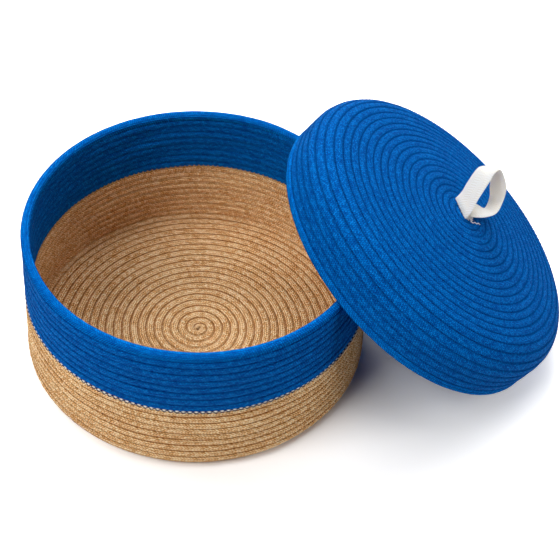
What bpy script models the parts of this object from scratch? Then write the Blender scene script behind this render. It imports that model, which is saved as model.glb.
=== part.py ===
# Lidded knitting basket: rope coiled in flat and rising spirals and sewn turn to turn,
# with the lid leaning on the rim as photographed and a webbing loop sewn to its middle.
# Metres, +Z up. The basket stands on z = 0 around the Z axis.

import math

import bpy
import bmesh
from mathutils import Matrix, Vector
from mathutils.bvhtree import BVHTree

MM = 0.001
DEG = math.pi / 180

# Driving dimensions
ROPE_PITCH = 8.04 * MM         # from one turn of rope to the next
ROPE_THICKNESS = 7.2 * MM      # of the basket's wall and base
LID_ROPE_THICKNESS = 6.0 * MM  # the lid's rope is pressed flatter
GROOVE_DEPTH = 1.5 * MM        # between two turns
RIM_RADIUS = 159.7 * MM        # outside of the rim
SEAM_FLARE = 3.4 * MM          # how much wider the wall is where blue meets jute
BASE_FLARE = 3.3 * MM          # how much wider still at the bottom corner
SEAM_RADIUS = RIM_RADIUS + SEAM_FLARE
BASE_RADIUS = SEAM_RADIUS + BASE_FLARE
CORNER_RADIUS = 10 * MM        # of the wall's mid-line where base turns into wall
BASE_TURNS = int((BASE_RADIUS - 2 * CORNER_RADIUS) / ROPE_PITCH)
JUTE_WALL_TURNS = 11
BLUE_WALL_TURNS = 9
LID_CLEARANCE = 0.8 * MM       # between the rim and the inside of the lid's skirt
LID_DOME = 13.3 * MM           # rise of the lid's top
LID_SHOULDER_RADIUS = 26 * MM
LID_TOP_TURNS = 18
LID_SKIRT_TURNS = 7
SEAT_GAP = 0.3 * MM            # between pieces that touch
SEAT_TOLERANCE = 0.02 * MM

# Where the ropes are joined and end, as a bearing round each coil, and the way they run
# out from the middle seen from above: 1 anticlockwise, -1 clockwise
BASKET_ROPE_END = 15 * DEG
BASKET_ROPE_WAY = -1
LID_ROPE_END = 70 * DEG
LID_ROPE_WAY = 1
ROPE_TAPER = 60 * DEG          # over which a rope's last end thins out
TAPERED_END_SHARE = 0.3        # of the rope's width left at its end
SEGMENTS = 24                  # flats in one turn
ROW_POINT_COUNT = 4            # tried on each flat to find where the lid rests
EDGE_POINT_COUNT = 48

# The lid as it leans
LID_TILT = 34.8 * DEG
LID_BEARING = 10 * DEG         # the way it slopes down
LID_SIDE_OFFSET = 67.4 * MM    # of its middle from the basket's middle, along Y

# Sewing thread on the seam between the two ropes
SEAM_STITCH_COUNT = 184
SEAM_THREAD_RADIUS = 0.35 * MM
SEAM_STITCH_REACH = 2.6 * MM   # to each side of the seam
SEAM_THREAD_SIDES = 3

# Webbing loop, its folded foot and the foot's sewing
WEBBING_WIDTH = 25 * MM
WEBBING_THICKNESS = 1.6 * MM
LOOP_BEARING = 22 * DEG        # of the loop's lean, from the way the lid slopes
LOOP_UPHILL_OFFSET = 3.5 * MM  # of the loop's root from the lid's middle
LOOP_BACK_OFFSET = 1.4 * MM
FOOT_LENGTH = 9 * MM
FOOT_LAYER_COUNT = 2
FOOT_THREAD_RADIUS = 0.3 * MM
FOOT_THREAD_SIDES = 4
FOOT_STITCH_LENGTH = 3 * MM
FOOT_STITCH_INSET = 2.5 * MM   # from the foot's cut end
FOOT_STITCH_RUNOUT = 9 * MM    # of the last stitches past the webbing, on the lid
LOOP_HINGE_RISE = 4 * MM       # of the bend line over the lid
LOOP_STEPS = 3                 # sections between two points of the route

# The loop's route over the lid: its middle and the direction of its width, each as
# (across the bend line, along it, up), chosen by hand after the photograph.
LOOP_ROUTE = (
    ((0, 0, 4.6), (0, 25, 0)),
    ((0, 2, 11), (1, 25, -1)),
    ((-1, 6, 21), (3, 25, -3)),
    ((0, 12, 38), (5, 24, -6)),
    ((5, 14, 46), (13, 18, -10)),
    ((12, 13, 49), (17, 14, -12)),
    ((18, 10, 42), (9, 18, -15)),
    ((24, 6, 34), (5, 18, -17)),
    ((31, 1, 24), (8, 17, -17)),
    ((32, -4, 13), (9, 18, -15)),
    ((23, -3, 9), (9, 22, -8)),
    ((11, -1, 7), (4, 24, -2)),
    ((2.4, 0, 5.6), (0, 25, 0)),
)


# Colours as the photograph shows them
JUTE_COLOUR = (0.55, 0.33, 0.16)
BLUE_COLOUR = (0.0, 0.13, 0.50)
WEBBING_COLOUR = (0.86, 0.81, 0.74)
THREAD_COLOUR = (0.82, 0.74, 0.62)
WHITE_THREAD_COLOUR = (0.88, 0.88, 0.90)


def material(name, colour, roughness):
    mat = bpy.data.materials.new(name)
    mat.use_nodes = True
    shader = mat.node_tree.nodes["Principled BSDF"]
    shader.inputs["Base Color"].default_value = (*colour, 1)
    shader.inputs["Roughness"].default_value = roughness
    shader.inputs["Metallic"].default_value = 0
    return mat


def make_object(name, verts, faces, mat, parent=None):
    mesh = bpy.data.meshes.new(name)
    mesh.from_pydata([tuple(v) for v in verts], [], faces)
    shape = bmesh.new()
    shape.from_mesh(mesh)
    bmesh.ops.recalc_face_normals(shape, faces=shape.faces)
    shape.to_mesh(mesh)
    shape.free()
    mesh.materials.append(mat)
    obj = bpy.data.objects.new(name, mesh)
    bpy.context.collection.objects.link(obj)
    obj.parent = parent
    return obj


class Profile:
    """The mid-line of a round shell, measured along its length from the middle:
    a flat or domed disc, a round corner and a wall that may change its lean once."""

    def __init__(self, thickness, corner_radius, disc_radius, disc_rise, up,
                 wall_lean=0, lower_wall=0, upper_lean=0):
        self.thickness = thickness
        self.corner = corner_radius
        self.disc_radius = disc_radius
        self.up = up
        # A domed disc is part of a circle of dome_radius, falling by slope at its edge
        self.slope = 2 * math.atan2(disc_rise, disc_radius)
        self.dome_radius = disc_radius / math.sin(self.slope) if disc_rise else 0
        self.disc_length = self.dome_radius * self.slope if disc_rise else disc_radius
        self.sweep = math.pi / 2 + wall_lean - self.slope
        self.corner_length = self.corner * self.sweep
        self.lower_wall = lower_wall
        self.upper_turn = math.pi / 2 + upper_lean

    def at(self, along):
        """Radius and height of the mid-line, and the unit step along it."""
        if along <= self.disc_length:
            turn = along / self.dome_radius if self.slope else 0
            radius = self.dome_radius * math.sin(turn) if self.slope else along
            height = self.dome_radius * (1 - math.cos(turn)) if self.slope else 0
        else:
            turn = self.slope + min((along - self.disc_length) / self.corner, self.sweep)
            fall = self.dome_radius * (1 - math.cos(self.slope)) if self.slope else 0
            radius = self.disc_radius + self.corner * (math.sin(turn) - math.sin(self.slope))
            height = fall + self.corner * (math.cos(self.slope) - math.cos(turn))
            straight = max(along - self.disc_length - self.corner_length, 0)
            upper = max(straight - self.lower_wall, 0)
            radius += (straight - upper) * math.cos(turn) + upper * math.cos(self.upper_turn)
            height += (straight - upper) * math.sin(turn) + upper * math.sin(self.upper_turn)
            turn = self.upper_turn if upper else turn
        step = (math.cos(turn), math.sin(turn))
        return radius, self.thickness / 2 + height, step

    def point(self, along, bearing, outward):
        """A point of the shell, outward of its mid-line, away from its hollow."""
        radius, height, step = self.at(along)
        radius += outward * step[1]
        height -= outward * step[0]
        height = height if self.up else -height
        return Vector((radius * math.cos(bearing), radius * math.sin(bearing), height))


class Coil:
    """A rope laid on a profile in a spiral, sewn into one shell. Its turns are counted
    from the middle, and a groove runs along each side of the rope."""

    def __init__(self, profile, rope_end, way):
        self.profile = profile
        self.rope_end = rope_end
        self.way = way

    def point(self, index, turns_up, outward, shift=0, nudge=0):
        """A point at flat number index, turns_up turns past the rope's inner groove."""
        along = ROPE_PITCH * (index / SEGMENTS + turns_up) + shift
        radius = max(along, ROPE_PITCH)
        bearing = self.rope_end + self.way * (2 * math.pi * index / SEGMENTS + nudge / radius)
        return self.profile.point(along, bearing, outward)

    def on_flat(self, place, turns_up, outward, shift):
        """A point between two corners, on the flat that joins them."""
        corner = math.floor(place)
        start = self.point(corner, turns_up - corner / SEGMENTS + place / SEGMENTS, outward, shift)
        end = self.point(corner + 1, turns_up - (corner + 1) / SEGMENTS + place / SEGMENTS,
                         outward, shift)
        return start.lerp(end, place - corner)


def coil_skin(coil, first, last, side, ridged, open_start, tapers, verts, faces):
    """One skin of a coil between two turn counts; side is 1 outside, -1 inside.
    Returns the vertex numbers of its edge at the start and at the end."""
    begin = first * SEGMENTS
    end = last * SEGMENTS
    crest = side * coil.profile.thickness / 2
    groove = crest - side * GROOVE_DEPTH if ridged else crest
    taper_flats = ROPE_TAPER / (2 * math.pi) * SEGMENTS
    grooves = {}
    crests = {}
    for index in range(begin, end + SEGMENTS + 1):
        at_start = open_start and index <= begin + SEGMENTS
        at_end = index >= end
        shift = SEAT_GAP / 2 if at_start else 0
        shift = -SEAT_GAP / 2 if at_end else shift
        nudge = SEAT_GAP / 2 if open_start and index in (begin, begin + SEGMENTS) else 0
        nudge = -SEAT_GAP / 2 if index in (end, end + SEGMENTS) else nudge
        if tapers and index > end + SEGMENTS - taper_flats:
            share = (index - end - SEGMENTS + taper_flats) / taper_flats
            shift -= ROPE_PITCH * share * (1 - TAPERED_END_SHARE)
        grooves[index] = len(verts)
        verts.append(coil.point(index, 0, groove, shift, nudge))
    for index in range(begin, end + 1) if ridged else ():
        nudge = SEAT_GAP / 2 if open_start and index == begin else 0
        nudge = -SEAT_GAP / 2 if index == end else nudge
        half_turn = 1 / 2
        share = (index - end + taper_flats) / taper_flats
        if tapers and share > 0:
            half_turn -= share * (1 - TAPERED_END_SHARE) / 2
        crests[index] = len(verts)
        verts.append(coil.point(index, half_turn, crest, 0, nudge))
    for index in range(begin, end):
        low = (grooves[index], grooves[index + 1])
        high = (grooves[index + SEGMENTS + 1], grooves[index + SEGMENTS])
        if ridged:
            middle = (crests[index], crests[index + 1])
            faces.append((*low, middle[1], middle[0]))
            faces.append((*middle, *high))
        else:
            faces.append((*low, *high))
    start_edge = [grooves[i] for i in range(begin, begin + SEGMENTS + 1)]
    end_edge = [grooves[i] for i in range(end, end + SEGMENTS + 1)]
    start_cut = [crests[begin]] if ridged else []
    end_cut = [crests[end]] if ridged else []
    return (start_edge, start_cut), (end_edge, end_cut)


def join_edges(outer, inner, faces):
    """Closes the shell between the edges of its two skins, and across the rope's cut."""
    outer_edge, outer_cut = outer
    inner_edge, inner_cut = inner
    for k in range(SEGMENTS):
        faces.append((outer_edge[k], outer_edge[k + 1], inner_edge[k + 1], inner_edge[k]))
    faces.append((outer_edge[-1], *outer_cut, outer_edge[0], inner_edge[0], *inner_cut,
                  inner_edge[-1]))


def close_middle(edge, faces):
    """Fills the middle of a spiral from the first point of its rope."""
    points, cut = edge
    for k in range(1, SEGMENTS):
        faces.append((points[0], points[k], points[k + 1]))
    if cut:
        faces.append((points[0], points[-1], cut[0]))


def coil_shell(name, coil, first, last, mat, parent=None, inside_ridged=True, tapers=False):
    """A shell of whole turns of rope, from turn first to turn last."""
    verts = []
    faces = []
    starts = []
    ends = []
    for side, ridged in ((1, True), (-1, inside_ridged)):
        start, end = coil_skin(coil, first, last, side, ridged, first > 0, tapers, verts, faces)
        starts.append(start)
        ends.append(end)
    join_edges(ends[0], ends[1], faces)
    if first:
        join_edges(starts[0], starts[1], faces)
    else:
        close_middle(starts[0], faces)
        close_middle(starts[1], faces)
    return make_object(name, verts, faces, mat, parent)


def flat_base(name, coil, last, mat):
    """The base: turns of rope on top, pressed flat underneath where it stands."""
    verts = []
    faces = []
    start, end = coil_skin(coil, 0, last, -1, True, False, False, verts, faces)
    close_middle(start, faces)
    edge, cut = end
    rim = edge + cut
    under = len(verts)
    verts.extend(Vector((verts[i].x, verts[i].y, 0)) for i in rim)
    count = len(rim)
    for k in range(count):
        following = (k + 1) % count
        faces.append((rim[k], rim[following], under + following, under + k))
    faces.append(tuple(range(under, under + count)))
    return make_object(name, verts, faces, mat)


def tube(name, route, radius, sides, mat, parent=None):
    """A closed thread of few sides along a route of points."""
    verts = []
    faces = []
    for k, place in enumerate(route):
        along = (route[min(k + 1, len(route) - 1)] - route[max(k - 1, 0)]).normalized()
        across = along.cross(Vector((0, 0, 1))).normalized()
        over = across.cross(along)
        for side in range(sides):
            angle = 2 * math.pi * side / sides
            verts.append(place + radius * (math.cos(angle) * across + math.sin(angle) * over))
    for k in range(len(route) - 1):
        for side in range(sides):
            following = (side + 1) % sides
            faces.append((k * sides + side, k * sides + following,
                          (k + 1) * sides + following, (k + 1) * sides + side))
    faces.append(tuple(range(sides)))
    faces.append(tuple(range(len(verts) - sides, len(verts))))
    return make_object(name, verts, faces, mat, parent)


def seam_thread(coil, mat):
    """The zigzag sewing that shows where the blue rope joins the jute."""
    seam_turn = BASE_TURNS + JUTE_WALL_TURNS
    half = coil.profile.thickness / 2
    surface = half - GROOVE_DEPTH * (1 - SEAM_STITCH_REACH / (ROPE_PITCH / 2))
    outward = surface + SEAT_GAP + SEAM_THREAD_RADIUS
    route = []
    for stitch in range(1, 2 * SEAM_STITCH_COUNT):
        place = seam_turn * SEGMENTS + stitch / (2 * SEAM_STITCH_COUNT) * SEGMENTS
        side = SEAM_STITCH_REACH if stitch % 2 else -SEAM_STITCH_REACH
        route.append(coil.on_flat(place, 0, outward, side))
    return tube("seam_thread", route, SEAM_THREAD_RADIUS, SEAM_THREAD_SIDES, mat)


def smooth_route(points, steps):
    """Points on a smooth curve through the given ones."""
    result = []
    last = len(points) - 1
    for k in range(last):
        before, start, end, after = (points[max(k - 1, 0)], points[k], points[k + 1],
                                     points[min(k + 2, last)])
        for step in range(steps):
            t = step / steps
            result.append((2 * start + (end - before) * t
                           + (2 * before - 5 * start + 4 * end - after) * t ** 2
                           + (3 * start - before - 3 * end + after) * t ** 3) / 2)
    return result + [points[last]]


def webbing_loop(mat, parent):
    """The loop: webbing that rises from the bend line, turns over and comes back."""
    middles = smooth_route([Vector(place) * MM for place, _ in LOOP_ROUTE], LOOP_STEPS)
    widths = smooth_route([Vector(width).normalized() for _, width in LOOP_ROUTE], LOOP_STEPS)
    verts = []
    faces = []
    for k, middle in enumerate(middles):
        along = middles[min(k + 1, len(middles) - 1)] - middles[max(k - 1, 0)]
        width_way = widths[k].normalized()
        face_way = along.cross(width_way).normalized()
        for across, out in ((-1, -1), (1, -1), (1, 1), (-1, 1)):
            verts.append(middle + across * WEBBING_WIDTH / 2 * width_way
                         + out * WEBBING_THICKNESS / 2 * face_way)
    corner_count = 4
    for k in range(len(middles) - 1):
        for side in range(corner_count):
            following = (side + 1) % corner_count
            faces.append((k * corner_count + side, k * corner_count + following,
                          (k + 1) * corner_count + following, (k + 1) * corner_count + side))
    faces.append(tuple(range(corner_count)))
    faces.append(tuple(range(len(verts) - corner_count, len(verts))))
    hinge = Vector((0, 0, LOOP_HINGE_RISE))
    loop = make_object("handle_loop", [v - hinge for v in verts], faces, mat, parent)
    loop.location = hinge
    return loop


def webbing_foot(mat, parent):
    """The webbing's two cut ends, folded under the loop and sewn flat on the lid."""
    low = SEAT_GAP
    high = low + FOOT_LAYER_COUNT * WEBBING_THICKNESS
    half = WEBBING_WIDTH / 2
    corners = [Vector((x, y, z)) for z in (low, high)
               for x, y in ((0, -half), (FOOT_LENGTH, -half), (FOOT_LENGTH, half), (0, half))]
    faces = [(0, 1, 2, 3), (4, 5, 6, 7), (0, 1, 5, 4), (1, 2, 6, 5), (2, 3, 7, 6), (3, 0, 4, 7)]
    return make_object("handle_foot", corners, faces, mat, parent)


def foot_thread(mat, parent):
    """The white sewing across the foot, running out over the lid beside it."""
    top = SEAT_GAP + FOOT_LAYER_COUNT * WEBBING_THICKNESS
    lift = SEAT_GAP + FOOT_THREAD_RADIUS
    half = WEBBING_WIDTH / 2
    x = FOOT_LENGTH - FOOT_STITCH_INSET
    aside = half + SEAT_GAP + 2 * FOOT_THREAD_RADIUS
    route = [Vector((x, half - FOOT_STITCH_LENGTH, top + lift))]
    stitches = int((WEBBING_WIDTH - FOOT_STITCH_LENGTH) / FOOT_STITCH_LENGTH)
    for k in range(1, stitches):
        route.append(Vector((x, half - (k + 1) * FOOT_STITCH_LENGTH, top + lift)))
    route.append(Vector((x, -half, top + lift)))
    route.append(Vector((x, -aside, top / 2 + lift)))
    route.append(Vector((x, -aside - FOOT_THREAD_RADIUS, lift)))
    runout = int(FOOT_STITCH_RUNOUT / FOOT_STITCH_LENGTH)
    for k in range(1, runout + 1):
        route.append(Vector((x + k * FOOT_STITCH_LENGTH, -aside - FOOT_STITCH_LENGTH / 2, lift)))
    return tube("handle_thread", route, FOOT_THREAD_RADIUS, FOOT_THREAD_SIDES, mat, parent)


def basket_profile():
    disc = BASE_RADIUS - ROPE_THICKNESS / 2 - CORNER_RADIUS
    seam = (BASE_TURNS + JUTE_WALL_TURNS + 1 / 2) * ROPE_PITCH
    lower = seam - disc - CORNER_RADIUS * math.pi / 2
    lower_lean = math.asin((BASE_RADIUS - SEAM_RADIUS) / lower)
    upper_lean = math.asin((SEAM_RADIUS - RIM_RADIUS) / (BLUE_WALL_TURNS * ROPE_PITCH))
    return Profile(ROPE_THICKNESS, CORNER_RADIUS, disc, 0, True, lower_lean, lower, upper_lean)


def lid_profile():
    outside = RIM_RADIUS + LID_CLEARANCE + LID_ROPE_THICKNESS
    disc = outside - LID_ROPE_THICKNESS / 2 - LID_SHOULDER_RADIUS
    return Profile(LID_ROPE_THICKNESS, LID_SHOULDER_RADIUS, disc, LID_DOME, False)


def lid_turn():
    """How the lid is turned: its own X slopes down, its own Z is the way it faces."""
    return Matrix.Rotation(LID_BEARING, 3, "Z") @ Matrix.Rotation(LID_TILT, 3, "Y")


def skirt_points(coil, turn):
    """Close points over both skins of the lid's lowest rows, as the lid is turned."""
    half = coil.profile.thickness / 2
    last = LID_TOP_TURNS + LID_SKIRT_TURNS
    points = []
    for step in range(2 * LID_SKIRT_TURNS):
        fine = EDGE_POINT_COUNT if step < 2 else ROW_POINT_COUNT
        outside = half if step % 2 else half - GROOVE_DEPTH
        for k in range(SEGMENTS * fine):
            place = (last - 1 - step / 2) * SEGMENTS + k / fine
            for outward in (outside, -half):
                points.append(turn @ coil.on_flat(place, 1, outward, 0))
    return points


def resting_place(coil, wall):
    """The lid's place: its lowest edge on the floor, moved in till it meets the rim."""
    surface = BVHTree.FromPolygons([v.co for v in wall.data.vertices],
                                   [p.vertices for p in wall.data.polygons])
    turn = lid_turn()
    points = skirt_points(coil, turn)
    place = Vector((2 * RIM_RADIUS, LID_SIDE_OFFSET, -min(point.z for point in points)))
    free = RIM_RADIUS
    while free > SEAT_GAP + SEAT_TOLERANCE:
        free = min(surface.find_nearest(point + place)[3] for point in points)
        place.x -= max(free - SEAT_GAP, 0)
    return Matrix.Translation(place) @ turn.to_4x4()


def empty(name, place, parent=None):
    obj = bpy.data.objects.new(name, None)
    bpy.context.collection.objects.link(obj)
    obj.parent = parent
    obj.matrix_local = place
    return obj


def build():
    for obj in list(bpy.data.objects):
        bpy.data.objects.remove(obj)
    jute = material("jute_rope", JUTE_COLOUR, 0.9)
    blue = material("blue_cotton_rope", BLUE_COLOUR, 0.85)
    webbing = material("cotton_webbing", WEBBING_COLOUR, 0.85)
    thread = material("natural_thread", THREAD_COLOUR, 0.8)
    white = material("white_thread", WHITE_THREAD_COLOUR, 0.7)

    basket = Coil(basket_profile(), BASKET_ROPE_END, BASKET_ROPE_WAY)
    jute_top = BASE_TURNS + JUTE_WALL_TURNS
    flat_base("base_coil", basket, BASE_TURNS, jute)
    coil_shell("jute_wall_coil", basket, BASE_TURNS, jute_top, jute)
    wall = coil_shell("blue_wall_coil", basket, jute_top, jute_top + BLUE_WALL_TURNS, blue,
                      tapers=True)
    seam_thread(basket, thread)

    lid = Coil(lid_profile(), LID_ROPE_END, LID_ROPE_WAY)
    lid_bottom = LID_TOP_TURNS + LID_SKIRT_TURNS
    lid_place = empty("lid_place", resting_place(lid, wall))
    coil_shell("lid_top_coil", lid, 0, LID_TOP_TURNS, blue, lid_place, False)
    coil_shell("lid_skirt_coil", lid, LID_TOP_TURNS, lid_bottom, blue, lid_place, False, True)

    root = Matrix.Translation((-LOOP_UPHILL_OFFSET, LOOP_BACK_OFFSET, 0))
    turned = root @ Matrix.Rotation(LOOP_BEARING, 4, "Z")
    handle_place = empty("handle_place", turned, lid_place)
    webbing_foot(webbing, handle_place)
    foot_thread(white, handle_place)
    webbing_loop(webbing, handle_place)

    bpy.context.view_layer.update()
    bend_line = handle_place.matrix_world @ Vector((0, 0, LOOP_HINGE_RISE))
    print("lid place", [round(v, 5) for v in lid_place.matrix_world.translation])
    print("bend line", [round(v, 5) for v in bend_line])


build()
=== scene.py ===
# The looks of the lidded knitting basket: ropes wound turn on turn, their sewing,
# the webbing loop on the lid, and the studio around them. Metres, +Z up.

import math
from functools import partial

import bpy
import numpy as np
from mathutils import Matrix, Vector


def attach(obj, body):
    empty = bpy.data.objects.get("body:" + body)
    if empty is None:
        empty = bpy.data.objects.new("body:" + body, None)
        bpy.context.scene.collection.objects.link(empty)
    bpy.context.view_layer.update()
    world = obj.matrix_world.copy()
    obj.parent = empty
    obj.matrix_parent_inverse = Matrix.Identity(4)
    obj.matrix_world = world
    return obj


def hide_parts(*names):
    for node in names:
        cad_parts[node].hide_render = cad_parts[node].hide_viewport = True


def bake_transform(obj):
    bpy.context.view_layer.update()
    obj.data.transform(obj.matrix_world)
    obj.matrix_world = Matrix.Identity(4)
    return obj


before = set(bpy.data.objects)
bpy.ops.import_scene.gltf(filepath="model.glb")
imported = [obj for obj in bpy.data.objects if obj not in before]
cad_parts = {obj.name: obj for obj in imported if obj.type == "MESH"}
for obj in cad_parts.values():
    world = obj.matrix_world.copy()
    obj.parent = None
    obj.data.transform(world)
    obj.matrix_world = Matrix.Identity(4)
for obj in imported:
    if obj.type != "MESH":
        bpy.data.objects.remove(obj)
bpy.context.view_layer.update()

MM = 0.001
DEG = math.pi / 180
FULL_TURN = 2 * math.pi

# Sizes that the solids have too
ROPE_PITCH = 8.04 * MM
ROPE_THICKNESS = 7.2 * MM
LID_ROPE_THICKNESS = 6.0 * MM
RIM_RADIUS = 159.7 * MM
SEAM_RADIUS = 163.1 * MM
BASE_RADIUS = 166.4 * MM
CORNER_RADIUS = 10 * MM
BASE_TURNS = 18
JUTE_WALL_TURNS = 11
BLUE_WALL_TURNS = 9
LID_CLEARANCE = 0.8 * MM
LID_DOME = 13.3 * MM
LID_SHOULDER_RADIUS = 26 * MM
LID_TOP_TURNS = 18
LID_SKIRT_TURNS = 7
BASKET_ROPE_END = 15 * DEG
BASKET_ROPE_WAY = -1
LID_ROPE_END = 70 * DEG
LID_ROPE_WAY = 1
ROPE_TAPER = 60 * DEG
TAPERED_END_SHARE = 0.3
WEBBING_WIDTH = 25 * MM
WEBBING_THICKNESS = 1.6 * MM

# Where the lid leans: the middle of its top, how far it tilts and the way it slopes down
LID_PLACE = Vector((244.6, 67.4, 152.56)) * MM
LID_TILT = 34.8 * DEG
LID_BEARING = 10 * DEG
LOOP_PLACE = Vector((-3.5, 1.4, 0)) * MM
LOOP_BEARING = 22 * DEG

# The ropes of the base and of the lid's top start by curling up in the middle, before
# their first full turn
MIDDLE_TURN = -0.62

# A rope's unevenness, as the length of its waves and their size: its thickness from
# place to place, its thickness from stitch to stitch, its place in the coil, and the
# slow way that turns stand out from the shell
BULK_WAVE, BULK_CHANGE = 60 * MM, 0.012
STITCH_WAVE = 8 * MM
WANDER_WAVE, WANDER = 37 * MM, 0.06 * MM
SWAY_WAVE = 210 * MM
WAVE_SHARES = (1.0, 0.61, 0.37, 1.73)

# A rope's ends: how far its blunt start and its thinned end round off, and how thin. A
# thinned end loses less of its thickness than of its width
BLUNT_START = 1.5 * MM
BLUNT_END = 3 * MM
END_SHARE = 0.02
THICKNESS_POWER = 0.35

# Knitted rows round a rope, which is about 25 mm round: some 2 mm a row in cotton. Jute
# has rows of 4 mm, coarser than the real cord's, because finer ones wouldn't show
JUTE_ROWS = 6
COTTON_ROWS = 12
JUTE_SQUARENESS = 2.8

# The zigzag sewing: the length of a stitch, how far it reaches over a groove, how thick
# each thread is to either side of its middle, and how it goes in where the needle did
STITCH = 5.55 * MM
SEWING_REACH = 1.6 * MM
BASKET_THREAD = 0.28 * MM
LID_THREAD = 0.35 * MM
SEAM_THREAD = 0.45 * MM
TACK_THREAD = 0.45 * MM
NEEDLE_SHARE = 0.14
NEEDLE_DIP = 0.7 * MM
NEEDLE_THINNING = 0.5
OUTSIDE, INSIDE = 1, -1

# The webbing's warp stands up in ribs along it, and its edges are round
WEBBING_RIBS = 11
WEBBING_RIB_DEPTH = 0.12 * MM
WEBBING_EDGE_POWER = 12
WEBBING_EDGE_SHARE = 0.15


# ---- Camera ----

def camera():
    """The photograph's view, worked out from the basket's and the lid's outlines: the
    camera looks along +Y, is pitched down and rolled, and its lens is shifted because
    the photograph is a crop."""
    pitch = 47.55 * DEG
    roll = 7.991 * DEG
    pixels = 560
    focal = 1259.38
    middle = (358, 303)
    stand = (0.15632, -0.82483, 0.97803)
    film_width = 36
    ahead = Vector((0, math.cos(pitch), -math.sin(pitch)))
    right = Vector((1, 0, 0))
    above = Vector((0, math.sin(pitch), math.cos(pitch)))
    across = math.cos(roll) * right + math.sin(roll) * above
    upward = math.cos(roll) * above - math.sin(roll) * right
    lens = bpy.data.cameras.new("camera")
    lens.sensor_fit = "HORIZONTAL"
    lens.sensor_width = film_width
    lens.lens = focal * film_width / pixels
    lens.shift_x = (pixels / 2 - middle[0]) / pixels
    lens.shift_y = (middle[1] - pixels / 2) / pixels
    lens.clip_start = 0.01
    seen = bpy.data.objects.new("camera", lens)
    place = Matrix((across, upward, -ahead)).transposed().to_4x4()
    place.translation = stand
    seen.matrix_world = place
    bpy.context.scene.collection.objects.link(seen)
    bpy.context.scene.camera = seen


camera()


# ---- Shapes ----

class Coil:
    """The round shell that a rope is wound into, and where and which way the rope runs.
    The shell's mid-line runs from the middle: a disc that is flat or part of a circle,
    an arc of the corner's radius, then a wall that may change its lean once."""

    def __init__(self, thickness, corner, disc_radius, rise, up, place, rope_end, way,
                 wall_lean=0.0, lower_wall=0.0, upper_lean=0.0):
        self.thickness = thickness
        self.corner = corner
        self.disc_radius = disc_radius
        self.up = 1 if up else -1
        self.place = np.array(place, float)
        self.rope_end = rope_end
        self.way = way
        self.slope = 2 * math.atan2(rise, disc_radius)
        self.dome = disc_radius / math.sin(self.slope) if rise else 0
        self.disc_length = self.dome * self.slope if rise else disc_radius
        self.sweep = math.pi / 2 + wall_lean - self.slope
        self.lower_wall = lower_wall
        self.upper_turn = math.pi / 2 + upper_lean

    def line(self, along):
        """Radius, height and direction of the mid-line, each by its own formula on the
        disc, the corner and the wall."""
        if self.dome:
            disc_turn = along / self.dome
            disc_radius = self.dome * np.sin(disc_turn)
            disc_height = self.dome * (1 - np.cos(disc_turn))
            fall = self.dome * (1 - math.cos(self.slope))
        else:
            disc_turn = np.zeros_like(along)
            disc_radius = along
            disc_height = disc_turn
            fall = 0
        past = along - self.disc_length
        turn = self.slope + np.clip(past / self.corner, 0, self.sweep)
        straight = np.maximum(past - self.corner * self.sweep, 0)
        upper = np.maximum(straight - self.lower_wall, 0) if self.lower_wall else 0 * straight
        lower = straight - upper
        radius = (self.disc_radius + self.corner * (np.sin(turn) - math.sin(self.slope))
                  + lower * np.cos(turn) + upper * math.cos(self.upper_turn))
        height = (fall + self.corner * (math.cos(self.slope) - np.cos(turn))
                  + lower * np.sin(turn) + upper * math.sin(self.upper_turn))
        turn = np.where(upper > 0, self.upper_turn, turn)
        on_disc = past <= 0
        return (np.where(on_disc, disc_radius, radius), np.where(on_disc, disc_height, height),
                np.where(on_disc, disc_turn, turn))

    def bearing(self, turns):
        """The rope's bearing turns with its turn count, from where the rope ends."""
        return self.rope_end + self.way * FULL_TURN * turns

    def at(self, along, bearing, outward):
        """Points of the shell: along its mid-line, then outward at right angles to it,
        turned to their bearing and put where the shell stands."""
        radius, height, turn = self.line(along)
        radius = radius + outward * np.sin(turn)
        height = self.up * (self.thickness / 2 + height - outward * np.cos(turn))
        local = np.stack([radius * np.cos(bearing), radius * np.sin(bearing), height], -1)
        return local @ self.place[:3, :3].T + self.place[:3, 3]


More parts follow.
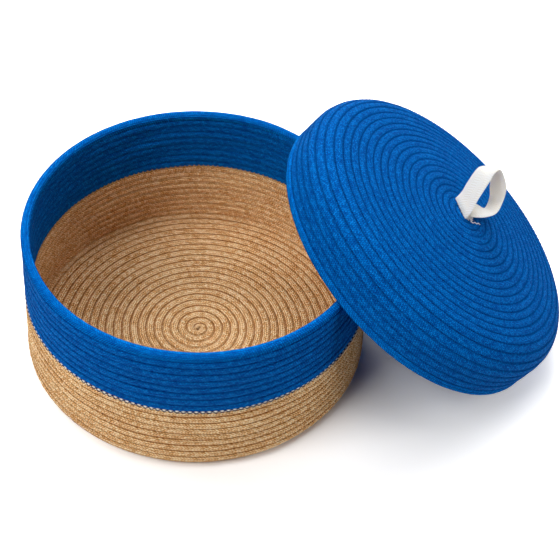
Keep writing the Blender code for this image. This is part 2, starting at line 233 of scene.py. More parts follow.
def put_mesh(name, points, along, around, finish):
    """Closed tubes from a grid of points: rows follow the piece, columns go round it
    and join up, and each end is filled by strips across it. Several tubes of one grid
    size may come together. The map called flow holds millimetres along, and millimetres
    or knitted rows around. Faces are turned outwards by the sign of the volume."""
    points = points.reshape(-1, *points.shape[-3:])
    tubes, rows, columns = points.shape[:3]
    i, j = np.meshgrid(np.arange(rows - 1), np.arange(columns), indexing="ij")
    following = (j + 1) % columns
    quads = np.stack([i * columns + j, i * columns + following,
                      (i + 1) * columns + following, (i + 1) * columns + j], -1).reshape(-1, 4)
    u = np.stack([along[i], along[i], along[i + 1], along[i + 1]], -1).reshape(-1, 4)
    v = np.stack([around[j], around[j + 1], around[j + 1], around[j]], -1).reshape(-1, 4)
    k = np.arange(columns // 2 - 1)
    cap = np.stack([k + 1, k, columns - 1 - k, columns - 2 - k], -1)
    quads = np.concatenate([quads, cap, cap[:, ::-1] + (rows - 1) * columns])
    u = np.concatenate([u, np.full(cap.shape, along[0]), np.full(cap.shape, along[-1])])
    v = np.concatenate([v, around[cap], around[cap][:, ::-1]])
    shift = rows * columns * np.arange(tubes)[:, None, None]
    quads = (quads[None] + shift).reshape(-1, 4)
    u, v = np.tile(u, (tubes, 1)), np.tile(v, (tubes, 1))
    flat = points.reshape(-1, 3)
    a, b, c, d = (flat[quads[:, n]] for n in range(4))
    if np.einsum("ij,ij->i", a, np.cross(b, c) + np.cross(c, d)).sum() < 0:
        quads, u, v = quads[:, ::-1], u[:, ::-1], v[:, ::-1]
    mesh = bpy.data.meshes.new(name)
    mesh.vertices.add(len(flat))
    mesh.vertices.foreach_set("co", np.ascontiguousarray(flat, np.float32).ravel())
    mesh.loops.add(quads.size)
    mesh.loops.foreach_set("vertex_index", np.ascontiguousarray(quads, np.int32).ravel())
    mesh.polygons.add(len(quads))
    mesh.polygons.foreach_set("loop_start", np.arange(0, quads.size, 4, dtype=np.int32))
    mesh.polygons.foreach_set("use_smooth", np.ones(len(quads), bool))
    mesh.update(calc_edges=True)
    flow = mesh.uv_layers.new(name="flow")
    flow.data.foreach_set("uv", np.stack([u, v], -1).astype(np.float32).ravel())
    mesh.materials.append(finish)
    piece = bpy.data.objects.new(name, mesh)
    bpy.context.scene.collection.objects.link(piece)
    return piece


def unit(vectors):
    """Vectors divided by their own lengths."""
    return vectors / np.linalg.norm(vectors, axis=-1, keepdims=True)


def way_along(points):
    """The way gone along a line of points: the steps between them, summed."""
    steps = np.linalg.norm(np.diff(points, axis=0), axis=1)
    return np.concatenate([[0], np.cumsum(steps)])


def way_round(across, out):
    """The way gone round a closed section of points: its steps summed, also the one
    that closes it."""
    closed = np.stack([np.append(across, across[0]), np.append(out, out[0])])
    return np.concatenate([[0], np.cumsum(np.hypot(*np.diff(closed)))])


def even_turns(coil, first, last, steps):
    """Turn counts spaced evenly by the rope's own length, and that length: the length
    of a turn is its circumference, summed finely and read back. Close to the middle it
    is taken at least as long as if the turn were a pitch away, so that none is skipped."""
    samples = 20 * int(abs(last - first) * 20 + 10)
    fine = np.linspace(first, last, samples)
    radius = np.hypot(coil.line(ROPE_PITCH * (fine + 0.5))[0], ROPE_PITCH)
    lengths = np.concatenate([[0], np.cumsum(np.diff(fine) * FULL_TURN
                                             * (radius[1:] + radius[:-1]) / 2)])
    wanted = np.linspace(0, lengths[-1], steps)
    return np.interp(wanted, lengths, fine), wanted


def superellipse(columns, width, thickness, squareness):
    """One round of a rope's cross-section: a superellipse, whose points go round by
    angle; across is along the shell and out is away from it. Also the share of the way
    round, which is 0 and a half where the rope touches its neighbours."""
    angle = FULL_TURN * (np.arange(columns) + 0.5) / columns
    across = width / 2 * np.sign(np.cos(angle)) * np.abs(np.cos(angle)) ** (2 / squareness)
    out = thickness / 2 * np.sign(np.sin(angle)) * np.abs(np.sin(angle)) ** (2 / squareness)
    around = way_round(across, out)
    return across, out, around / around[-1]


def waver(length, seed, wave, size):
    """A smooth unevenness along a rope: a sum of sines of unlike lengths near wave, with
    phases drawn from the seed."""
    rng = np.random.default_rng(seed)
    total = np.zeros_like(length)
    for share in WAVE_SHARES:
        total += np.sin(FULL_TURN * (length / (wave * share) + rng.random()))
    return size * total / 2


def wound_rope(name, coil, first, last, seed, finish, rows, squareness, uneven, overlap, sway,
               steps=6000, columns=14, tapers=False, rib_depth=0.0):
    """A rope laid on its shell from turn first to turn last: its middle runs half a
    pitch past the turn count, its bearing turns with the count, and its section keeps
    to the shell. A taper narrows the last end towards the turn it is sewn to, and the
    start is drawn in to a blunt point. Its knitted rows are counted round the section,
    and may stand up as ribs. Turns press into each other by the overlap, and stand out
    from the shell or into it by the slow sway."""
    turns, length = even_turns(coil, first, last, steps)
    across, out, around = superellipse(columns, ROPE_PITCH + overlap, coil.thickness, squareness)
    narrow = np.ones_like(turns)
    head = np.ones_like(turns)
    tail = np.ones_like(turns)
    if tapers:
        share = np.clip((turns - last) * FULL_TURN / ROPE_TAPER + 1, 0, 1)
        narrow = 1 - share * (1 - TAPERED_END_SHARE)
        tail = np.clip((length[-1] - length) / BLUNT_END, END_SHARE, 1) ** 0.5
    if first < 0:
        head = np.clip(length / BLUNT_START, END_SHARE, 1) ** 0.5
    bulk = (1 + waver(length, seed, BULK_WAVE, BULK_CHANGE)
            + waver(length, seed + 1, STITCH_WAVE, uneven))
    wide = (narrow * head * tail)[:, None]
    thick = (narrow ** THICKNESS_POWER * head * tail * bulk)[:, None]
    ribbed = 1 - rib_depth * np.cos(rows * FULL_TURN * around[:-1])
    middle = ROPE_PITCH * (turns + narrow / 2)
    along = (middle + waver(length, seed + 2, WANDER_WAVE, WANDER) * narrow)[:, None]
    along = along + wide * (across * ribbed)[None, :]
    outward = (thick * (out * ribbed)[None, :]
               + waver(length, seed + 3, SWAY_WAVE, sway)[:, None])
    bearing = np.broadcast_to(coil.bearing(turns)[:, None], along.shape)
    return put_mesh(name, coil.at(along, bearing, outward), length / MM, around * rows, finish)


def thread(name, route, upward, radius, sides, finish):
    """A round thread along a route, or several along theirs: at each point a ring about
    the direction from the point before to the point after, kept upright by the given
    upward directions."""
    step = unit(np.gradient(route, axis=-2))
    aside = unit(np.cross(step, upward))[..., None, :]
    over = np.cross(aside, step[..., None, :])
    angle = (FULL_TURN * np.arange(sides) / sides)[:, None]
    size = np.broadcast_to(radius, route.shape[-2])[:, None, None]
    points = route[..., None, :] + size * (np.cos(angle) * aside + np.sin(angle) * over)
    length = way_along(route.reshape(-1, *route.shape[-2:])[0])
    around = np.linspace(0, FULL_TURN, sides + 1) * float(np.max(radius))
    return put_mesh(name, points, length / MM, around / MM, finish)


def zigzag(name, coil, first, last, stitch, reach, side, radius, finish,
           sides=4, lean=0.0, dips=True, knot=1.0):
    """Zigzag sewing over the groove on one side of a wound rope: its points swing from
    one turn to the next and back, evenly by length. The thread lies as high as the
    rope's superellipse is at its reach from the groove, and dips into the rope and
    narrows at each point, where the needle goes in. A knot makes it thicker at its upper
    points and thinner at its lower ones. The lean moves the whole line up or down."""
    share = 1 - reach / (ROPE_PITCH / 2)
    rise = (coil.thickness / 2 * (1 - share ** JUTE_SQUARENESS) ** (1 / JUTE_SQUARENESS)
            + radius / 2)
    span = even_turns(coil, first, last, 3)[1][-1]
    strands = int(span / (stitch / 2)) // 2 * 2
    step = np.arange(strands * (3 if dips else 1) + 1)
    if dips:
        within = np.choose(step % 3, [0, NEEDLE_SHARE, 1 - NEEDLE_SHARE])
        count = step // 3 + within
        at_point = within == 0
    else:
        count = step
        at_point = np.zeros(len(step), bool)
    swing = reach * (1 - 2 * np.abs((count % 2) - 1))
    turns = even_turns(coil, first, last, strands + 1)[0]
    turns = np.interp(count, np.arange(strands + 1), turns)
    along = ROPE_PITCH * turns + swing + lean
    bearing = coil.bearing(turns)
    outward = side * (rise - np.where(at_point, NEEDLE_DIP, 0))
    route = coil.at(along, bearing, outward)
    upward = unit(coil.at(along, bearing, outward + side * MM) - route)
    size = np.where(at_point, NEEDLE_THINNING, 1) * radius * knot ** (swing / reach)
    return thread(name, route, upward, size, sides, finish)


def smooth_route(points, steps):
    """Points on a smooth curve through the given ones: between two of them a cubic whose
    slope at each is that from its neighbour before to its neighbour after."""
    points = np.array(points, float)
    padded = np.concatenate([points[:1], points, points[-1:]])
    before, start, end, after = (padded[n:n + len(points) - 1][:, None] for n in range(4))
    t = (np.arange(steps) / steps)[None, :, None]
    curve = (2 * start + (end - before) * t + (2 * before - 5 * start + 4 * end - after) * t ** 2
             + (3 * start - before - 3 * end + after) * t ** 3) / 2
    return np.concatenate([curve.reshape(-1, points.shape[1]), points[-1:]])


def strap(name, middles, widths, width, thickness, finish):
    """A flat strap: its section is a slab with rounded edges and rippled faces, carried
    along the route with its width in the given directions. The edges are a
    superellipse's, and the ripple a cosine that crests along the middle."""
    step = unit(np.gradient(middles, axis=0))
    facing = unit(np.cross(step, widths))
    share = np.linspace(-1, 1, 4 * WEBBING_RIBS + 1)
    edge = np.sqrt(np.clip(1 - share ** WEBBING_EDGE_POWER, 0, 1))
    ripple = WEBBING_RIB_DEPTH * (np.cos(share * WEBBING_RIBS * math.pi) - 1) / 2
    half = (thickness / 2 + ripple) * np.maximum(edge, WEBBING_EDGE_SHARE)
    across = np.concatenate([share, share[::-1]]) * width / 2
    out = np.concatenate([half, -half[::-1]])
    points = (middles[:, None, :] + across[None, :, None] * widths[:, None, :]
              + out[None, :, None] * facing[:, None, :])
    return put_mesh(name, points, way_along(middles) / MM, way_round(across, out) / MM, finish)


# ---- Materials ----

ADD = {"operation": "ADD"}
SUBTRACT = {"operation": "SUBTRACT"}
MULTIPLY = {"operation": "MULTIPLY"}
MULTIPLY_ADD = {"operation": "MULTIPLY_ADD"}
DIVIDE = {"operation": "DIVIDE"}
POWER = {"operation": "POWER"}
FLOOR = {"operation": "FLOOR"}
FRACTION = {"operation": "FRACT"}
ABSOLUTE = {"operation": "ABSOLUTE"}
MAXIMUM = {"operation": "MAXIMUM"}
GREATER = {"operation": "GREATER_THAN"}
UP_AND_DOWN = {"operation": "PINGPONG"}
ON_THE_MAP = {"noise_dimensions": "2D"}
FLOW_MAP = {"uv_map": "flow"}
SMOOTHLY = {"interpolation_type": "SMOOTHSTEP"}


def colour(text):
    """The linear colour of an sRGB hex value."""
    parts = [int(text[n:n + 2], 16) / 255 for n in (1, 3, 5)]
    return (*[p / 12.92 if p <= 0.04045 else ((p + 0.055) / 1.055) ** 2.4 for p in parts], 1)


def node(tree, kind, settings, *values, **links):
    """Adds a node, sets what settings names on it, and fills its inputs in order, by
    number or by name, each with a value, a socket or another node's first output."""
    made = tree.nodes.new("ShaderNode" + kind)
    for key, value in settings.items():
        setattr(made, key, value)
    links.update({f"_{n}": value for n, value in enumerate(values)})
    for key, value in links.items():
        spot = made.inputs[int(key[1:]) if key[0] == "_" else key.replace("_", " ")]
        if isinstance(value, bpy.types.Node):
            value = value.outputs[0]
        if isinstance(value, bpy.types.NodeSocket):
            tree.links.new(value, spot)
        else:
            spot.default_value = value
    return made


def new_material(name):
    """An empty material, and what adds a node to it."""
    mat = bpy.data.materials.new(name)
    mat.use_nodes = True
    mat.node_tree.nodes.clear()
    return mat, partial(node, mat.node_tree)


def cloth_finish(add, base, height, depth, strength, roughness, specular, through=0.0):
    """The shader of a cloth: its colour and bump come from the pattern, its matt gloss
    is the same all over, and a thin one lets some light through, which comes out warm.
    Cotton and jute keep the default IOR of 1.5, close to their own."""
    bump = add("Bump", {}, Strength=strength, Distance=depth, Height=height)
    shader = add("BsdfPrincipled", {}, Base_Color=base, Roughness=roughness,
                 Specular_IOR_Level=specular, Subsurface_Weight=through,
                 Subsurface_Radius=(1.0, 0.85, 0.7), Subsurface_Scale=8 * MM, Normal=bump)
    add("OutputMaterial", {}, Surface=shader)


def knitted_cord(name, tones, painted_groove_shade, rows, stitch, slant, leg_change, relief_shade_and_highlight, patches, wobble):
    """Cord knitted in a tube round a core: lengthwise rows of small V stitches, so many
    millimetres long. Across a row the two legs of each stitch slant from its middle, and
    a leg is high along its middle and low between its neighbours. Tones go from the gaps
    to the crowns, as painted shade in the gaps and painted highlight on the crowns; each
    leg has its own, and the cord's dye or fibre varies slowly in patches of about 17 mm.
    Towards the groove beside its neighbour the cord is darker: painted shade."""
    row_shift = 0.37
    yarn_share, leg_share = 0.55, 0.45
    groove, shoulder = 0.1, 0.35
    squeeze = 0.7  # brings levels past 1 into the ramp, which ends there
    mat, add = new_material(name)
    flow = add("UVMap", FLOW_MAP)
    along, around = add("SeparateXYZ", {}, flow).outputs[:2]
    wander = add("TexNoise", ON_THE_MAP, Vector=flow, Scale=0.3, Detail=2.0)
    across = add("Math", MULTIPLY_ADD, wander, wobble, around)
    row = add("Math", FLOOR, across)
    side = add("Math", SUBTRACT, add("Math", FRACTION, across), 0.5)
    off_middle = add("Math", ABSOLUTE, side)
    shift = add("Math", MULTIPLY_ADD, wander, 3 * wobble, add("Math", MULTIPLY, row, row_shift))
    place = add("Math", ADD, add("Math", DIVIDE, along, stitch),
                add("Math", MULTIPLY_ADD, off_middle, slant, shift))
    off_yarn = add("Math", ABSOLUTE,
                   add("Math", MULTIPLY_ADD, add("Math", FRACTION, place), 2.0, -1.0))
    yarn_height = add("Math", SUBTRACT, 1.0, add("Math", POWER, off_yarn, 2.0))
    off_leg = add("Math", ABSOLUTE, add("Math", MULTIPLY_ADD, off_middle, 4.0, -1.0))
    leg_height = add("Math", SUBTRACT, 1.0, add("Math", POWER, off_leg, 3.0))
    height = add("Math", MULTIPLY_ADD, yarn_height, yarn_share,
                 add("Math", MULTIPLY, leg_height, leg_share))
    leg = add("CombineXYZ", {}, X=add("Math", FLOOR, place),
              Y=add("Math", MULTIPLY_ADD, row, 2.0, add("Math", GREATER, side, 0.0)))
    own_tone = add("TexWhiteNoise", ON_THE_MAP, Vector=leg)
    body = add("TexCoord", {})
    patchy = add("TexNoise", {}, Vector=body.outputs["Object"], Scale=60.0, Detail=3.0)
    # Painted shade and highlight: the stitch relief darkens the colour in the gaps and lightens
    # it on the crowns
    level = add("Math", MULTIPLY_ADD, own_tone, leg_change,
                add("Math", MULTIPLY_ADD, height, relief_shade_and_highlight, add("Math", MULTIPLY, patchy, patches)))
    ramp = add("ValToRGB", {}, add("Math", MULTIPLY, level, squeeze))
    for k, (place_at, shade) in enumerate(tones):
        while len(ramp.color_ramp.elements) <= k:
            ramp.color_ramp.elements.new(1)
        ramp.color_ramp.elements[k].position = squeeze * place_at
        ramp.color_ramp.elements[k].color = colour(shade)
    # Painted shade: the colour darkens towards the groove between neighbouring turns
    crest = add("Math", UP_AND_DOWN, around, rows / 4)
    groove_shade = add("MapRange", {}, crest, groove * rows / 4, shoulder * rows / 4, 1, 0)
    base = add("Mix", {"data_type": "RGBA", "blend_type": "MULTIPLY"}, groove_shade, _6=ramp,
               _7=colour(painted_groove_shade))
    cloth_finish(add, base.outputs[2], height, depth=0.4 * MM, strength=1.0, roughness=0.7,
                 specular=0.02)
    return mat


def plain_thread(name, shade):
    """Sewing thread of twisted cotton: its strands show as slanting ridges a millimetre
    apart, a fifth darker in between."""
    shadow = 0.8
    mat, add = new_material(name)
    flow = add("UVMap", FLOW_MAP)
    along, around = add("SeparateXYZ", {}, flow).outputs[:2]
    height = add("Math", UP_AND_DOWN, add("Math", ADD, along, around), 0.5)
    dark = tuple(c * shadow for c in colour(shade)[:3]) + (1,)
    base = add("Mix", {"data_type": "RGBA"}, add("Math", MULTIPLY, height, 2.0), _6=dark,
               _7=colour(shade))
    cloth_finish(add, base.outputs[2], height, depth=0.2 * MM, strength=0.5, roughness=0.8,
                 specular=0.05)
    return mat


def herringbone_webbing(name):
    """Unbleached cotton webbing in herringbone: slanting twill lines, drawn 2 mm apart
    to show in the render, that turn back at each band of the warp, 6.2 mm wide. Between
    its lines it is creamier, and its fuzz blurs them."""
    band, twill_apart = 6.2, 2.0
    fuzz_share, twill_share = 0.35, 0.7
    mat, add = new_material(name)
    flow = add("UVMap", FLOW_MAP)
    along, around = add("SeparateXYZ", {}, flow).outputs[:2]
    slant = add("Math", ADD, along, add("Math", UP_AND_DOWN, around, band))
    twill = add("Math", UP_AND_DOWN, add("Math", DIVIDE, slant, twill_apart), 0.5)
    height = add("Math", MULTIPLY, twill, 2.0)
    fuzz = add("TexNoise", ON_THE_MAP, Vector=flow, Scale=1.3, Detail=4.0)
    ramp = add("ValToRGB", {}, add("Math", MULTIPLY_ADD, fuzz, fuzz_share,
                                   add("Math", MULTIPLY, height, twill_share)))
    low, high = ramp.color_ramp.elements
    low.position, low.color = 0.2, colour("#E6D4BA")
    high.position, high.color = 0.6, colour("#FFF8EE")
    cloth_finish(add, ramp, height, depth=0.3 * MM, strength=0.5, roughness=0.85,
                 specular=0.1, through=0.8)
    return mat


# Dyed cotton cord, knitted: matt and saturated, navy painted shade in the gaps between
# its stitches, which are 2.3 mm long, and a painted pale highlight on their crowns
blue_cord = knitted_cord("blue_cotton_cord",
                         [(0.42, "#002470"), (0.76, "#005EB2"), (1.0, "#0080DC"),
                          (1.18, "#38A8F4")],
                         "#A4A4B8", COTTON_ROWS, stitch=2.3, slant=1.2, leg_change=0.3,
                         relief_shade_and_highlight=0.75, patches=0.06, wobble=0.2)
# The same cord along the two edges: its tones drawn brighter, as painted light, and
# with no painted shade in the groove
rim_cord = knitted_cord("blue_cotton_cord_rim",
                        [(0.43, "#003084"), (0.72, "#006AC4"), (0.96, "#0090EC"),
                         (1.16, "#50B8F8")],
                        "#FFFFFF", COTTON_ROWS, stitch=2.3, slant=1.2, leg_change=0.2,
                        relief_shade_and_highlight=0.75, patches=0.06, wobble=0.1)
# Jute yarn, knitted: coarse and dry, straw with painted highlight on its crowns and brown
# to near black painted shade in the gaps between its stitches, which are 2.7 mm long
jute_cord = knitted_cord("jute_cord",
                         [(0.52, "#201004"), (0.82, "#C88240"), (1.06, "#FFC682"),
                          (1.28, "#FFEEC6")],
                         "#B07038", JUTE_ROWS, stitch=2.7, slant=1.4, leg_change=0.34,
                         relief_shade_and_highlight=1.1, patches=0.1, wobble=0.3)
# Cotton sewing threads, matt: unbleached, jute's own tan, the cord's blue, a navy one that is
# painted shade, white
natural_thread = plain_thread("natural_cotton_thread", "#FFFAF0")
tan_thread = plain_thread("tan_cotton_thread", "#D8A468")
blue_thread = plain_thread("blue_cotton_thread", "#005CAC")
navy_shade_thread = plain_thread("navy_thread_painted_shade", "#0C2C58")
white_thread = plain_thread("white_cotton_thread", "#F4F4F6")
# Cotton webbing, woven: off-white and soft, and light comes through it
webbing = herringbone_webbing("cotton_webbing")


# ---- The basket ----

# How each rope looks when wound: jute is coarse and loose, cotton firm and squarer, and
# the rope of an edge is round, ribbed and thinned at its end
JUTE_ROPE = {"finish": jute_cord, "rows": JUTE_ROWS, "squareness": JUTE_SQUARENESS,
             "uneven": 0.05, "overlap": 0.7 * MM}
BLUE_ROPE = {"finish": blue_cord, "rows": COTTON_ROWS, "squareness": 3.3,
             "uneven": 0.03, "overlap": 0.5 * MM}
EDGE_ROPE = {"finish": rim_cord, "rows": COTTON_ROWS, "squareness": 2.3,
             "uneven": 0.01, "overlap": 0.3 * MM, "sway": 0.0, "steps": 2000,
             "columns": 36, "tapers": True, "rib_depth": 0.17}

seam_along = (BASE_TURNS + JUTE_WALL_TURNS + 0.5) * ROPE_PITCH
base_disc = BASE_RADIUS - ROPE_THICKNESS / 2 - CORNER_RADIUS
lower_wall = seam_along - base_disc - CORNER_RADIUS * math.pi / 2
basket_coil = Coil(ROPE_THICKNESS, CORNER_RADIUS, base_disc, 0, True, Matrix.Identity(4),
                   BASKET_ROPE_END, BASKET_ROPE_WAY,
                   math.asin((BASE_RADIUS - SEAM_RADIUS) / lower_wall), lower_wall,
                   math.asin((SEAM_RADIUS - RIM_RADIUS) / (BLUE_WALL_TURNS * ROPE_PITCH)))
jute_top = BASE_TURNS + JUTE_WALL_TURNS
rim_start = jute_top + BLUE_WALL_TURNS - 1

base = wound_rope("base_rope", basket_coil, MIDDLE_TURN, BASE_TURNS, seed=1,
                  sway=0.1 * MM, **JUTE_ROPE)
jute_wall = wound_rope("jute_wall_rope", basket_coil, BASE_TURNS, jute_top, seed=3,
                       sway=0.4 * MM, **JUTE_ROPE)
blue_wall = wound_rope("blue_wall_rope", basket_coil, jute_top, rim_start, seed=5,
                       sway=0.3 * MM, **BLUE_ROPE)
rim = wound_rope("rim_rope", basket_coil, rim_start, rim_start + 1, seed=7, **EDGE_ROPE)
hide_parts("base_coil")
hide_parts("jute_wall_coil")
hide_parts("blue_wall_coil")
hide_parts("blue_wall_coil")
for piece, slot in ((base, "jute_rope"), (jute_wall, "jute_rope"),
                    (blue_wall, "blue_cotton_rope"), (rim, "blue_cotton_rope")):
    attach(piece, "basket")

# The seam between the two ropes: pale knots on its edge, a navy thread half a stitch
# further on that is painted shade in the groove under the blue rope, and tan thread inside
seam = zigzag("seam_sewing", basket_coil, jute_top, jute_top + 1, STITCH,
              reach=1.0 * MM, side=OUTSIDE, radius=SEAM_THREAD, finish=natural_thread,
              sides=6, lean=-0.1 * MM, dips=False, knot=1.9)
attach(seam, "basket")
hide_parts("seam_thread")

half_stitch = 0.0027  # in turns
# Painted shade: a navy zigzag drawn where the groove under the blue rope lies in shade
seam_shade_thread = zigzag("seam_sewing_painted_shade", basket_coil, jute_top + half_stitch,
                   jute_top + 1 + half_stitch, STITCH, reach=1.7 * MM, side=OUTSIDE,
                   radius=SEAM_THREAD, finish=navy_shade_thread, sides=6, lean=-0.6 * MM)
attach(seam_shade_thread, "basket")

seam_inside = zigzag("seam_sewing_inside", basket_coil, jute_top, jute_top + 1,
                     stitch=5.0 * MM, reach=1.8 * MM, side=INSIDE, radius=0.5 * MM,
                     finish=tan_thread, sides=6, lean=0.6 * MM, dips=False, knot=1.3)
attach(seam_inside, "basket")

# The zigzag sewing that holds each turn to the one before, seen in the grooves. Under the
# base, where it hardly shows, it doesn't dip into the rope
for name, side, first, last, finish, slot, dips in (
        ("base_sewing_below", OUTSIDE, 1, BASE_TURNS, tan_thread, "jute_rope", False),
        ("jute_sewing_outside", OUTSIDE, BASE_TURNS, jute_top, tan_thread, "jute_rope", True),
        ("jute_sewing_inside", INSIDE, 1, jute_top, tan_thread, "jute_rope", True),
        ("blue_sewing_outside", OUTSIDE, jute_top + 1, rim_start, blue_thread,
         "blue_cotton_rope", True),
        ("blue_sewing_inside", INSIDE, jute_top + 1, rim_start, blue_thread,
         "blue_cotton_rope", True)):
    sewing = zigzag(name, basket_coil, first, last, STITCH, SEWING_REACH, side,
                    BASKET_THREAD, finish, dips=dips)
    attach(sewing, "basket")


# ---- The lid ----

turned = Matrix.Rotation(LID_BEARING, 4, "Z") @ Matrix.Rotation(LID_TILT, 4, "Y")
lid_place = Matrix.Translation(LID_PLACE) @ turned
lid_disc = RIM_RADIUS + LID_CLEARANCE + LID_ROPE_THICKNESS / 2 - LID_SHOULDER_RADIUS
lid_coil = Coil(LID_ROPE_THICKNESS, LID_SHOULDER_RADIUS, lid_disc, LID_DOME, False, lid_place,
                LID_ROPE_END, LID_ROPE_WAY)
edge_start = LID_TOP_TURNS + LID_SKIRT_TURNS - 1

lid_top = wound_rope("lid_top_rope", lid_coil, MIDDLE_TURN, LID_TOP_TURNS, seed=11,
                     sway=0.15 * MM, **BLUE_ROPE)
lid_skirt = wound_rope("lid_skirt_rope", lid_coil, LID_TOP_TURNS, edge_start, seed=13,
                       sway=0.2 * MM, **BLUE_ROPE)
lid_edge = wound_rope("lid_edge_rope", lid_coil, edge_start, edge_start + 1, seed=15,
                      **EDGE_ROPE)
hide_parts("lid_top_coil")
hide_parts("lid_skirt_coil")
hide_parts("lid_skirt_coil")
for piece in (lid_top, lid_skirt, lid_edge):
    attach(piece, "lid")

for name, first, last in (("lid_top_sewing", 1, LID_TOP_TURNS),
                          ("lid_skirt_sewing", LID_TOP_TURNS, edge_start)):
    sewing = zigzag(name, lid_coil, first, last, STITCH, SEWING_REACH, OUTSIDE,
                    LID_THREAD, blue_thread)
    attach(sewing, "lid")


# ---- The webbing loop ----

handle_place = (lid_place @ Matrix.Translation(LOOP_PLACE)
                @ Matrix.Rotation(LOOP_BEARING, 4, "Z"))
handle_frame = np.array(handle_place, float)

# The loop's route, as the solid has it but brought down to the lid at its cut end: its
# middle and the direction of its width, in millimetres across the bend line, along it and up
LOOP_ROUTE = (
    ((-1.1, 0, 0.5), (0, 25, 0)),
    ((-0.7, 0.3, 4.2), (0, 25, 0)),
    ((-0.3, 2, 11), (1, 25, -1)),
    ((-1, 6, 21), (3, 25, -3)),
    ((0, 12, 38), (5, 24, -6)),
    ((5, 14, 46), (13, 18, -10)),
    ((12, 13, 49), (17, 14, -12)),
    ((18, 10, 42), (9, 18, -15)),
    ((24, 6, 34), (5, 18, -17)),
    ((31, 1, 23), (8, 17, -17)),
    ((31.5, -4.5, 11.5), (9, 18, -15)),
    ((22.5, -4, 7.5), (9, 22, -8)),
    ((11, -1.5, 6), (4, 24, -2)),
    ((2.2, 0, 5.0), (0, 25, 0)),
)
LOOP_STEPS = 14
FOOT_STEPS = 12


def in_handle(points):
    """Points given in the loop's own frame on the lid, in metres."""
    return np.array(points, float) @ handle_frame[:3, :3].T + handle_frame[:3, 3]


loop_middles = in_handle(smooth_route([p for p, _ in LOOP_ROUTE], LOOP_STEPS) * MM)
loop_widths = unit(smooth_route([np.array(w) / np.linalg.norm(w) for _, w in LOOP_ROUTE],
                                LOOP_STEPS) @ handle_frame[:3, :3].T)
loop = strap("webbing_loop", loop_middles, loop_widths, WEBBING_WIDTH, WEBBING_THICKNESS, webbing)
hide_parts("handle_loop")
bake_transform(loop)

# The two ends of the webbing that lie on the lid, one on the other: where each starts
# and ends and how high its middle lies, in millimetres. It sinks a little to its end
for name, first, last, height in (("webbing_foot", 0.2, 9.0, 1.1),
                                  ("webbing_foot_upper", 0.3, 8.2, 2.75)):
    share = np.linspace(0, 1, FOOT_STEPS)
    foot_route = np.stack([first + (last - first) * share, np.zeros(FOOT_STEPS),
                           height - 0.25 * share ** 2], -1) * MM
    foot_wide = np.tile(np.array([0, 1.0, 0]) @ handle_frame[:3, :3].T, (FOOT_STEPS, 1))
    foot = strap(name, in_handle(foot_route), foot_wide, WEBBING_WIDTH - 0.4 * MM,
                 WEBBING_THICKNESS, webbing)
    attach(foot, "lid")
    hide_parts("handle_foot")


# ---- Fraying and tacking ----

def frayed_end(name, start, end, outward, longest, count, seed, finish):
    """The loose yarns of a cut end: short threads side by side from start to end, each
    leaning outward by its own amount, with its own length and a slight curl that grows
    as the square of the way along it."""
    steps, radius, tip_share = 6, 0.28 * MM, 0.4
    rng = np.random.default_rng(seed)
    share = (np.arange(count) + rng.uniform(0.1, 0.9, count)) / count
    roots = np.array(start)[None] + share[:, None] * (np.array(end) - start)[None]
    lean = np.array(outward)[None] + rng.normal(0, 0.35, (count, 3))
    reach = rng.uniform(0.35, 1, count)[:, None] * longest
    curl = rng.normal(0, 0.3, (count, 3)) * longest
    t = np.linspace(0, 1, steps)[None, :, None]
    routes = roots[:, None] + t * (unit(lean) * reach)[:, None] + (t ** 2) * curl[:, None]
    upward = np.broadcast_to(handle_frame[:3, 2], routes.shape)
    return thread(name, in_handle(routes * MM), upward,
                  np.linspace(1, tip_share, steps) * radius, 4, finish)


for yarns in (frayed_end("frayed_end", (-1.2, -12.4, 0.7), (-1.2, 6, 0.6), (-0.6, -0.3, -0.1),
                         longest=2.2, count=14, seed=21, finish=webbing),
              frayed_end("frayed_edge", (-0.5, -12.6, 0.9), (8, -12.5, 1.4), (0.1, -0.9, -0.1),
                         longest=2.4, count=9, seed=22, finish=webbing)):
    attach(yarns, "lid")

# The tacking thread runs across the foot on top, then down and off over the lid in a
# loose tail. Its route is in millimetres
foot_top = 0.3 * MM + 2 * WEBBING_THICKNESS
tack_route = [(6.5, y, foot_top / MM + 0.4) for y in np.arange(10, -13, -1.5)]
tack_route += [(6.5, -13.4, 2.0), (7.0, -14.4, 0.6), (9.5, -15.6, 0.5), (12, -14.6, 0.9),
               (14.5, -15.8, 0.5), (17, -14.8, 0.9), (19.5, -16, 0.5)]
tack_points = in_handle(smooth_route(tack_route, 4) * MM)
tack_up = np.tile(np.array([0.3, 0.1, 1.0]) @ handle_frame[:3, :3].T, (len(tack_points), 1))
tack = thread("tack_sewing", tack_points, tack_up, TACK_THREAD, 6, white_thread)
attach(tack, "lid")
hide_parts("handle_thread")


# ---- Studio ----

FLOOR_HALF = 6
FLOOR_DROP = 0.3 * MM
FLOOR_TONE = 0.8
FLOOR_SEEN = 1.12
SHADOW_RING = (0.17, 0.32)
SHADOW_RING_LIFT = 0.65
FAR_RING = (0.8, 2.5)
FAR_RING_LIFT = 0.35
WORLD_LIGHT = 0.02
STUDIO_MIDDLE = (0.1, 0, 0)
LAMP_AIM = (0.1, 0, 0.05)
LAMP_WIDTH = 1.2
LAMPS = (("behind", (-0.19, 1.63, 1.49), 36), ("front_left", (-1.08, -1.06, 1.58), 31),
         ("right", (1.95, -0.2, 1.15), 13), ("above", (0.1, 0, 2.25), 17))


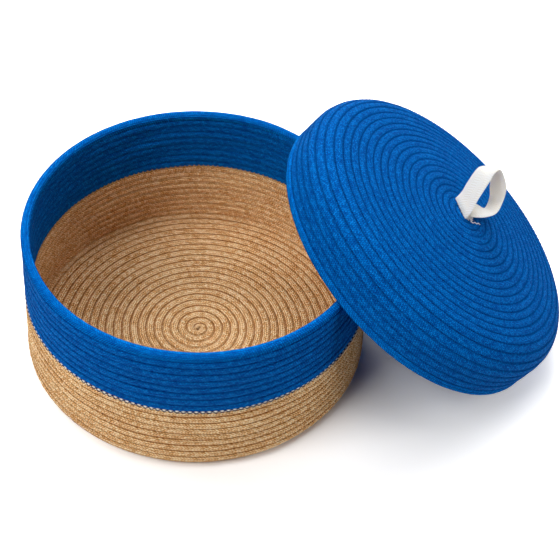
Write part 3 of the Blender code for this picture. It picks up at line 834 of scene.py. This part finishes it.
def pale_floor():
    """A wide pale floor under the basket. Light meets a grey-white one; the camera sees
    it brighter, and further from the middle whiter still, in two smooth steps, so that
    it keeps the shadow close by and is white beyond."""
    mesh = bpy.data.meshes.new("floor")
    mesh.from_pydata([(-FLOOR_HALF, -FLOOR_HALF, 0), (FLOOR_HALF, -FLOOR_HALF, 0),
                      (FLOOR_HALF, FLOOR_HALF, 0), (-FLOOR_HALF, FLOOR_HALF, 0)],
                     [], [(0, 1, 2, 3)])
    floor = bpy.data.objects.new("floor", mesh)
    floor.location.z = -FLOOR_DROP
    bpy.context.scene.collection.objects.link(floor)
    mat, add = new_material("white_floor")
    seen = add("LightPath", {}).outputs["Is Camera Ray"]
    spot = add("TexCoord", {}).outputs["Object"]
    away = add("VectorMath", {"operation": "DISTANCE"}, spot, STUDIO_MIDDLE).outputs["Value"]
    around = add("MapRange", SMOOTHLY, away, *SHADOW_RING, 0, SHADOW_RING_LIFT)
    beyond = add("MapRange", SMOOTHLY, away, *FAR_RING, 0, FAR_RING_LIFT)
    matt = add("BsdfDiffuse", {}, Color=add("Mix", {}, seen, _2=FLOOR_TONE, _3=FLOOR_SEEN))
    lift = add("Emission", {}, Color=(1, 1, 1, 1),
               Strength=add("Math", MULTIPLY, seen, add("Math", ADD, around, beyond)))
    add("OutputMaterial", {}, Surface=add("AddShader", {}, matt, lift))
    mesh.materials.append(mat)


def soft_lamps():
    """Soft lamps: two strong ones from behind and from the front left, weaker ones from
    the right and above."""
    for name, place, power in LAMPS:
        lamp = bpy.data.lights.new(name, "AREA")
        lamp.size = LAMP_WIDTH
        lamp.energy = power
        holder = bpy.data.objects.new(name, lamp)
        holder.location = place
        aim = Vector(LAMP_AIM) - Vector(place)
        holder.rotation_euler = aim.to_track_quat("-Z", "Y").to_euler()
        bpy.context.scene.collection.objects.link(holder)


def white_room():
    """A world that is white to the camera and in gloss, and nearly dark as a light."""
    world = bpy.data.worlds.new("studio")
    world.use_nodes = True
    world.node_tree.nodes.clear()
    add = partial(node, world.node_tree)
    path = add("LightPath", {})
    seen = add("Math", MAXIMUM, path.outputs["Is Camera Ray"],
               add("Math", MAXIMUM, path.outputs["Is Glossy Ray"],
                   path.outputs["Is Transmission Ray"]))
    sky = add("Background", {}, Color=(1, 1, 1, 1),
              Strength=add("Math", MULTIPLY_ADD, seen, 1 - WORLD_LIGHT, WORLD_LIGHT))
    add("OutputWorld", {}, Surface=sky)
    bpy.context.scene.world = world


pale_floor()
soft_lamps()
white_room()
bpy.context.scene.view_settings.view_transform = "Standard"
